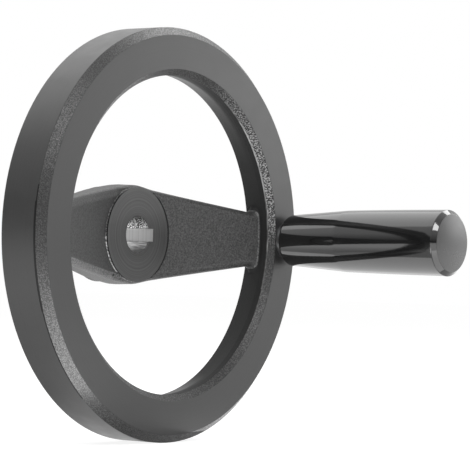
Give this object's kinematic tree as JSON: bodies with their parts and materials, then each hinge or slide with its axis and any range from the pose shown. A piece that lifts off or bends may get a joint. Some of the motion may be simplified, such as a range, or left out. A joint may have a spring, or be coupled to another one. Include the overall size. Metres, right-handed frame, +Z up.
{
  "type": "machine handwheel",
  "caption": "Dished spoked handwheel with a keyed bore and a revolving handle on its rim, for turning a machine's shaft by hand.",
  "frame": {"origin": "on the bore's axis, in the hub's back face, which seats against the shaft's shoulder", "axes": "+Y along the bore from the front, where the handle is, to the hub's back; +X from the bore to the handle along the spokes; +Z up"},
  "size_m": [0.1645, 0.12, 0.16],
  "materials": {
    "coated_casting": "satin black coat over cast aluminium, finely textured on the chamfers, bare in the bore",
    "spindle_steel": "turned steel, blackened",
    "spring_steel": "spring steel",
    "moulded_grip": "polished black thermoset moulding"
  },
  "bodies": {
    "wheel": {"handwheel": "coated_casting", "handle_spindle": "spindle_steel", "snap_ring": "spring_steel"},
    "revolving_grip": {"grip": "moulded_grip"}
  },
  "joints": [
    {"name": "grip_spin", "type": "hinge", "parent": "wheel", "child": "revolving_grip", "pos_m": [0.0715, -0.08, 0], "axis": [0, 1, 0], "continuous": true}
  ]
}
